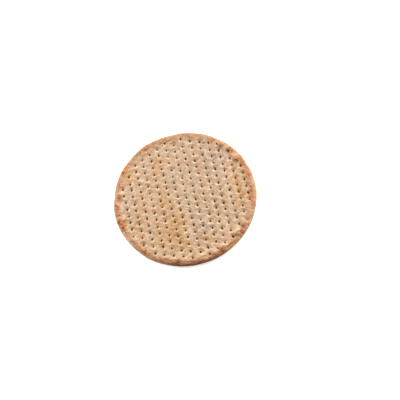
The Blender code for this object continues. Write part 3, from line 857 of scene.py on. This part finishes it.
# The crags of the edge, which push it in and die away at its foot and on the top
CRAG_WAVE_LENGTH = 0.009
CRAG_FROM = (0.48, 0.75)
crag_noise = add(
    relief, "ShaderNodeTexNoise", {"Vector": place, "Scale": 1 / CRAG_WAVE_LENGTH, "Detail": 3.0},
    noise_dimensions="3D",
)
crag = add(relief, "ShaderNodeMapRange", {0: crag_noise, 1: CRAG_FROM[0], 2: CRAG_FROM[1]})
crag_foot = add(
    relief, "ShaderNodeMapRange", {0: share, 1: 0.0, 2: EDGE_WIDEST_SHARE, 3: 0.0, 4: 1.0},
    interpolation_type="SMOOTHSTEP",
)
crag_top = add(
    relief, "ShaderNodeMapRange", {0: inset, 1: 0.0, 2: EDGE_ROUND_RUN, 3: 1.0, 4: 0.0},
    interpolation_type="SMOOTHSTEP",
)
crag_share = add(relief, "ShaderNodeMath", {0: crag_foot, 1: crag_top}, operation="MULTIPLY")
crag_size = add(relief, "ShaderNodeMath", {0: crag_share, 1: given["Edge crag"]}, operation="MULTIPLY")
crag_depth = add(relief, "ShaderNodeMath", {0: crag, 1: crag_size}, operation="MULTIPLY")
crag_push = add(relief, "ShaderNodeMath", {0: crag_depth, 1: -1.0}, operation="MULTIPLY")
pushed = add(relief, "ShaderNodeVectorMath", {0: outwards, "Scale": crag_push}, operation="SCALE")
plan_pushed = add(relief, "ShaderNodeVectorMath", {0: plan, 1: pushed}, operation="ADD")
upward = add(relief, "ShaderNodeCombineXYZ", {"Z": pitted_height})
new_place = add(relief, "ShaderNodeVectorMath", {0: plan_pushed, 1: upward}, operation="ADD")

# What the finish needs to know at each point is kept with the mesh
shape = add(
    relief, "GeometryNodeStoreNamedAttribute",
    {0: given["Geometry"], "Name": "rim_place", "Value": rim_place},
    data_type="FLOAT_VECTOR", domain="POINT",
)
for name, value in (("pit", pit), ("lip", lip), ("dip", dip)):
    shape = add(
        relief, "GeometryNodeStoreNamedAttribute", {0: shape, "Name": name, "Value": value},
        data_type="FLOAT", domain="POINT",
    )
shape = add(relief, "GeometryNodeSetPosition", {0: shape, "Position": new_place})
shape = add(relief, "GeometryNodeRealizeInstances", {0: shape})
dough_setter = add(relief, "GeometryNodeSetMaterial", {0: shape})
add(relief, "NodeGroupOutput", {0: dough_setter})


# ---------------------------------------------------------------- the baked dough
# Par-baked wheat dough, baked flat and pulled while still pale. Its dry matt skin is a floury
# greyish beige with golden stretches, tan on the rim and an orange brown on the blisters, and
# the pits, which hold no flour, are a deeper brown. Some coats also paint light and shade: the
# pale lips and pale rim stains are partly painted highlights, and the dips, the browned stains
# and the near edge are partly painted shade.


def linear(hex_colour):
    """A linear colour from an sRGB hex value."""
    channels = [int(hex_colour[i : i + 2], 16) / 255 for i in (0, 2, 4)]
    return [c / 12.92 if c <= 0.04045 else ((c + 0.055) / 1.055) ** 2.4 for c in channels] + [1.0]


material = bpy.data.materials.new("par_baked_wheat_dough")
material.use_nodes = True
dough = material.node_tree
skin = dough.nodes["Principled BSDF"]
coordinates = add(dough, "ShaderNodeTexCoord").outputs["Object"]
unrolled = add(dough, "ShaderNodeAttribute", attribute_name="rim_place").outputs["Vector"]

kept = {}
for name in ("pit", "lip", "dip", "inset", *RIM_STAINS):
    kept[name] = add(dough, "ShaderNodeAttribute", attribute_name=name).outputs["Fac"]

# Stretches of the field with wandering outlines: golden and floury ones that baked or floured
# differently, cool ones, darker tan ones, and the near edge, browned and darkened with painted
# shade. Each is (x, y, half its width, half its length along the roller's travel, strength).
STRETCH_WAVE_MM = 21
STRETCH_WANDER = 0.050
STRETCH_FULL_AT = 0.6
GOLDEN_STRETCHES = (
    (-0.038, -0.078, 0.040, 0.074, 1.00),
    (-0.060, -0.072, 0.040, 0.066, 0.62),
    (-0.046, -0.010, 0.022, 0.070, 0.60),
    (-0.092, -0.010, 0.028, 0.085, 0.42),
    (-0.100, -0.080, 0.026, 0.034, 0.38),
    (-0.040, 0.088, 0.026, 0.040, 0.45),
    (-0.108, 0.085, 0.036, 0.036, 0.60),
    (0.112, -0.010, 0.020, 0.100, 0.55),
    (0.100, -0.100, 0.030, 0.036, 0.35),
    (0.036, -0.104, 0.026, 0.024, 0.45),
    (-0.010, -0.124, 0.080, 0.022, 0.46),
)
COOL_STRETCHES = (
    (0.012, 0.085, 0.040, 0.080, 1.00),
    (0.008, 0.000, 0.032, 0.070, 0.80),
    (0.018, -0.065, 0.030, 0.050, 0.85),
    (0.060, 0.085, 0.070, 0.070, 1.00),
    (0.095, 0.070, 0.040, 0.050, 0.50),
    (-0.120, 0.045, 0.022, 0.050, 0.60),
    (-0.080, 0.020, 0.014, 0.050, 0.50),
)
# Darker, greyer tan stretches, mostly over the far right of the top
DARKER_TAN_STRETCHES = (
    (0.050, 0.090, 0.100, 0.080, 0.80),
    (0.070, 0.050, 0.034, 0.060, 1.00),
    (0.112, 0.050, 0.026, 0.032, 0.90),
    (0.038, 0.036, 0.034, 0.036, 1.00),
    (0.124, -0.020, 0.030, 0.070, 0.80),
    (0.056, -0.022, 0.036, 0.040, 1.00),
    (0.092, -0.060, 0.026, 0.034, 0.90),
    (-0.108, -0.010, 0.026, 0.060, 0.70),
    (-0.040, 0.118, 0.060, 0.040, 1.00),
    (-0.062, 0.068, 0.026, 0.040, 0.70),
    (0.010, 0.132, 0.090, 0.026, 0.90),
    (-0.030, 0.036, 0.030, 0.050, 0.70),
    (0.008, -0.100, 0.036, 0.024, 0.90),
    (0.080, -0.010, 0.020, 0.040, 0.90),
    (-0.018, 0.030, 0.020, 0.036, 0.80),
)
FLOURY_STRETCHES = (
    (0.020, -0.132, 0.070, 0.024, 0.80),
    (-0.014, -0.072, 0.018, 0.034, 0.80),
    (0.006, -0.004, 0.030, 0.028, 0.35),
    (-0.068, -0.090, 0.034, 0.032, 0.44),
    (-0.040, -0.124, 0.036, 0.020, 0.50),
    (0.098, 0.022, 0.016, 0.022, 0.50),
)
# The near edge, browned and darkened with painted shade where it faces away from the soft boxes
BURNT_AND_SHADED_STRETCHES = (
    (-0.020, -0.150, 0.112, 0.040, 1.00),
    (-0.110, -0.110, 0.050, 0.040, 0.22),
)
wander = add(
    dough, "ShaderNodeTexNoise", {"Vector": coordinates, "Scale": 1000 / STRETCH_WAVE_MM, "Detail": 3.0},
    noise_dimensions="3D",
)
wander_centred = add(
    dough, "ShaderNodeVectorMath", {0: wander.outputs["Color"], 1: (0.5, 0.5, 0.5)}, operation="SUBTRACT"
)
wander_by = add(
    dough, "ShaderNodeVectorMath", {0: wander_centred, "Scale": STRETCH_WANDER}, operation="SCALE"
)
wandering = add(dough, "ShaderNodeVectorMath", {0: coordinates, 1: wander_by}, operation="ADD")
stretches_of = {}
for name, stretches_there in (
    ("golden", GOLDEN_STRETCHES), ("cool", COOL_STRETCHES), ("tanned", DARKER_TAN_STRETCHES),
    ("floury", FLOURY_STRETCHES), ("burnt", BURNT_AND_SHADED_STRETCHES),
):
    strongest = 0.0
    for x, y, half_width, half_length, strength in stretches_there:
        fitted = add(
            dough, "ShaderNodeMapping",
            {"Vector": wandering, "Location": (x, y, 0), "Scale": (half_width, half_length, 1)},
            vector_type="TEXTURE",
        )
        glow = add(dough, "ShaderNodeTexGradient", {"Vector": fitted}, gradient_type="SPHERICAL")
        stretch = add(dough, "ShaderNodeMath", {0: glow.outputs["Fac"], 1: strength}, operation="MULTIPLY")
        strongest = add(dough, "ShaderNodeMath", {0: strongest, 1: stretch}, operation="MAXIMUM")
    stretches_of[name] = add(
        dough, "ShaderNodeMapRange", {0: strongest, 1: 0.0, 2: STRETCH_FULL_AT},
        interpolation_type="SMOOTHSTEP",
    )

# Blotches of several sizes, each from its own place in a noise. Each is (wavelength in
# millimetres, how many times longer along the roller's travel, detail, the noise's value where a
# blotch starts and where it is full, how far the noise is moved).
BLOTCHES = {
    "golden": (20, 3.2, 2.0, 0.48, 0.70, (3, 1, 0)),
    "pinkish": (16, 2.6, 2.0, 0.48, 0.70, (1, 9, 0)),
    "greyish": (14, 2.6, 2.0, 0.48, 0.70, (5, 7, 0)),
    "tan": (9.0, 1.8, 2.0, 0.48, 0.70, (4, 4, 0)),
    "floury": (7.0, 1.5, 2.0, 0.50, 0.72, (7, 5, 0)),
    "speck": (3.6, 1.0, 1.0, 0.50, 0.72, (2, 6, 0)),
    "flour_speck": (3.2, 1.0, 1.0, 0.52, 0.74, (8, 2, 0)),
    "rim_patch": (15, 1.0, 3.0, 0.48, 0.66, (6, 2, 0)),
    "rim_mottle": (6.5, 1.0, 2.0, 0.48, 0.68, (2, 8, 0)),
    "rim_flour": (8.0, 1.0, 2.0, 0.50, 0.70, (9, 5, 0)),
}
blotch = {}
for name, (wavelength, longer, detail, start, end, offset) in BLOTCHES.items():
    moved = add(
        dough, "ShaderNodeMapping", {"Vector": coordinates, "Location": offset, "Scale": (1, 1 / longer, 1)}
    )
    spots = add(
        dough, "ShaderNodeTexNoise",
        {"Vector": moved, "Scale": 1000 / wavelength, "Detail": detail, "Roughness": 0.55},
        noise_dimensions="3D",
    )
    blotch[name] = add(dough, "ShaderNodeMapRange", {0: spots.outputs["Fac"], 1: start, 2: end})

# The rim browns in an uneven band, and along the near edge, which faces away from the soft boxes,
# it is darker still: browning together with painted shade. A band starts this far inside the edge,
# and is full nearer to it.
BAND_WAVE_MM = 24
BAND_NOISE = (0.25, 0.75)
BAND_WANDER = 0.006
TAN_BAND = (0.0185, 0.0070)
BURNT_AND_SHADED_BAND = (0.0115, 0.0045)
band_noise = add(
    dough, "ShaderNodeTexNoise", {"Vector": unrolled, "Scale": 1000 / BAND_WAVE_MM, "Detail": 3.0},
    noise_dimensions="3D",
)
band_wander = add(
    dough, "ShaderNodeMapRange",
    {
        0: band_noise.outputs["Fac"], 1: BAND_NOISE[0], 2: BAND_NOISE[1],
        3: -BAND_WANDER, 4: BAND_WANDER,
    },
)
band_inset = add(dough, "ShaderNodeMath", {0: kept["inset"], 1: band_wander}, operation="ADD")
rim_tan = add(
    dough, "ShaderNodeMapRange", {0: band_inset, 1: TAN_BAND[0], 2: TAN_BAND[1], 3: 0.0, 4: 1.0},
    interpolation_type="SMOOTHSTEP",
)
rim_patch = add(dough, "ShaderNodeMath", {0: rim_tan, 1: blotch["rim_patch"]}, operation="MULTIPLY")
rim_mottle = add(dough, "ShaderNodeMath", {0: rim_tan, 1: blotch["rim_mottle"]}, operation="MULTIPLY")
rim_flour = add(dough, "ShaderNodeMath", {0: rim_tan, 1: blotch["rim_flour"]}, operation="MULTIPLY")
burnt_and_shaded_band = add(
    dough, "ShaderNodeMapRange", {0: band_inset, 1: BURNT_AND_SHADED_BAND[0], 2: BURNT_AND_SHADED_BAND[1], 3: 0.0, 4: 1.0}
)
burnt_and_shaded_side = add(dough, "ShaderNodeMath", {0: stretches_of["burnt"], 1: burnt_and_shaded_band}, operation="MULTIPLY")

# The pits, which are brown from this share of their depth, and fully brown from the second
PIT_BROWN_DEPTHS = (0.03, 0.6)
pit_brown = add(
    dough, "ShaderNodeMapRange",
    {0: kept["pit"], 1: PIT_BROWN_DEPTHS[0], 2: PIT_BROWN_DEPTHS[1], 3: 0.0, 4: 1.0},
)

# Each coat over the bare dough is (where it lies, its colour, how much of it at most)
BARE_DOUGH = "DDBFA1"
COATS = (
    (stretches_of["cool"], "CAB5A1", 0.85),
    (stretches_of["tanned"], "B4957C", 0.46),
    (stretches_of["golden"], "CD9852", 0.88),
    (stretches_of["floury"], "EBD2AE", 0.55),
    (blotch["golden"], "CF9C66", 0.50),
    (blotch["pinkish"], "DBAF98", 0.45),
    (blotch["greyish"], "C6B296", 0.50),
    (blotch["tan"], "BA9066", 0.45),
    (blotch["floury"], "EED9BF", 0.50),
    (blotch["speck"], "A67E58", 0.45),
    (blotch["flour_speck"], "F4E2CA", 0.45),
    # Painted shade, partly dough with less flour: the dips round each hole are darker and warmer
    (kept["dip"], "C09262", 0.25),
    # Painted highlight, partly flour: the pale lip beside each hole
    (kept["lip"], "F6E6D0", 0.50),
    (rim_tan, "CE9B70", 0.68),
    (rim_patch, "B87E50", 0.55),
    (rim_mottle, "B4703E", 0.40),
    (rim_flour, "E9CDAC", 0.45),
    # Browning, partly painted shade on the shaded sides of blisters
    (kept["browned"], "A8886A", 0.62),
    (kept["rosy"], "CE8668", 0.80),
    (kept["golden_rim"], "C8883C", 0.80),
    (kept["toasted"], "B46A3C", 0.75),
    (kept["orange"], "DA8C56", 0.80),
    # Partly flour, partly painted light: the pale outer edge
    (kept["floury_edge"], "E0C4AC", 0.75),
    # Browning together with painted shade along the near edge
    (burnt_and_shaded_side, "743F2C", 0.70),
    # Painted highlight, partly flour: the pale rim stains
    (kept["pale"], "F0D8B4", 0.80),
    (kept["scorched"], "9C4E20", 0.88),
    (pit_brown, "84542A", 0.90),
)
colour = add(dough, "ShaderNodeRGB")
colour.outputs[0].default_value = linear(BARE_DOUGH)
for where, tint, most in COATS:
    thinned = add(dough, "ShaderNodeMath", {0: where, 1: most}, operation="MULTIPLY")
    colour = add(
        dough, "ShaderNodeMix", {0: thinned, 6: colour, 7: linear(tint)}, data_type="RGBA", blend_type="MIX"
    )
dough.links.new(colour.outputs[2], skin.inputs["Base Color"])
skin.inputs["Roughness"].default_value = 0.85
skin.inputs["IOR"].default_value = 1.45
skin.inputs["Specular IOR Level"].default_value = 0.25
skin.inputs["Subsurface Weight"].default_value = 0.20
skin.inputs["Subsurface Radius"].default_value = (1.0, 0.55, 0.30)
skin.inputs["Subsurface Scale"].default_value = 0.0020

# The finest grain of the skin
FINE_GRAIN_MM = 1.1
fine_grain = add(
    dough, "ShaderNodeTexNoise", {"Vector": coordinates, "Scale": 1000 / FINE_GRAIN_MM, "Detail": 3.0},
    noise_dimensions="3D",
)
bump = add(
    dough, "ShaderNodeBump", {"Height": fine_grain.outputs["Fac"], "Strength": 0.5, "Distance": 0.0003}
)
dough.links.new(bump.outputs["Normal"], skin.inputs["Normal"])

dough_setter.inputs["Material"].default_value = material

modifier = crust.modifiers.new("relief", "NODES")
modifier.node_group = relief
for identifier, value in relief_values.items():
    modifier[identifier] = value
depsgraph = bpy.context.evaluated_depsgraph_get()
finished = bpy.data.meshes.new_from_object(crust.evaluated_get(depsgraph), depsgraph=depsgraph)
crust.modifiers.remove(modifier)
crust.data = finished
for cloud in (dock_points, blister_points):
    bpy.data.objects.remove(cloud)

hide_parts("crust")
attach(crust, "root")


# ---------------------------------------------------------------- the table and the light
# A plain white acrylic table, softly lit from below as product tables are, and two round soft
# boxes beyond the crust, the stronger one to the right.

TABLE_HALF_WIDTH = 20.0

table_mesh = bpy.data.meshes.new("table")
corner_signs = ((-1, -1), (1, -1), (1, 1), (-1, 1))
table_corners = [(x * TABLE_HALF_WIDTH, y * TABLE_HALF_WIDTH, 0) for x, y in corner_signs]
table_mesh.from_pydata(table_corners, [], [(0, 1, 2, 3)])
table = bpy.data.objects.new("table", table_mesh)
bpy.context.scene.collection.objects.link(table)
table_acrylic = bpy.data.materials.new("white_acrylic")
table_acrylic.use_nodes = True
table_surface = table_acrylic.node_tree.nodes["Principled BSDF"]
table_surface.inputs["Base Color"].default_value = linear("F7F6F4")
table_surface.inputs["Roughness"].default_value = 0.9
table_surface.inputs["Specular IOR Level"].default_value = 0.1
table_surface.inputs["Emission Color"].default_value = linear("FFFFFF")
table_surface.inputs["Emission Strength"].default_value = 0.6
table_mesh.materials.append(table_acrylic)

# Each soft box is (azimuth and elevation in degrees, distance, diameter, watts)
SOFT_BOXES = {
    "right_box": (38, 33, 2.0, 0.8, 40.0),
    "left_box": (140, 31, 1.8, 0.7, 21.5),
}
for name, (azimuth, elevation, distance, diameter, watts) in SOFT_BOXES.items():
    box = bpy.data.lights.new(name, "AREA")
    box.shape = "DISK"
    box.size = diameter
    box.energy = watts
    box_object = bpy.data.objects.new(name, box)
    turned_up = Euler((0, -math.radians(elevation), math.radians(azimuth))).to_matrix()
    towards_box = turned_up @ Vector((1, 0, 0))
    box_object.location = towards_box * distance
    box_object.rotation_euler = towards_box.to_track_quat("Z", "Y").to_euler()
    bpy.context.scene.collection.objects.link(box_object)

world = bpy.data.worlds.new("studio")
bpy.context.scene.world = world
world.use_nodes = True
world.node_tree.nodes["Background"].inputs["Color"].default_value = linear("FFF4E8")
world.node_tree.nodes["Background"].inputs["Strength"].default_value = 0.25
bpy.context.scene.view_settings.view_transform = "Standard"


# ---------------------------------------------------------------- the camera
# It looks down at the crust from the near side, with a long lens, a little rolled.

LENS_MM = 94.6
TILT_FROM_VERTICAL = math.radians(22.43)
AZIMUTH = math.radians(1.66)
ROLL = math.radians(-16.19)
AIM = Vector((0.0300, -0.0121, 0))
DISTANCE = 2.218

lens = bpy.data.cameras.new("camera")
lens.lens = LENS_MM
lens.sensor_width = 36
camera = bpy.data.objects.new("camera", lens)
facing = (
    Euler((0, 0, AZIMUTH)).to_matrix() @ Euler((TILT_FROM_VERTICAL, 0, 0)).to_matrix()
    @ Euler((0, 0, ROLL)).to_matrix()
)
camera.rotation_euler = facing.to_euler()
camera.location = AIM + facing @ Vector((0, 0, DISTANCE))
bpy.context.scene.collection.objects.link(camera)
bpy.context.scene.camera = camera
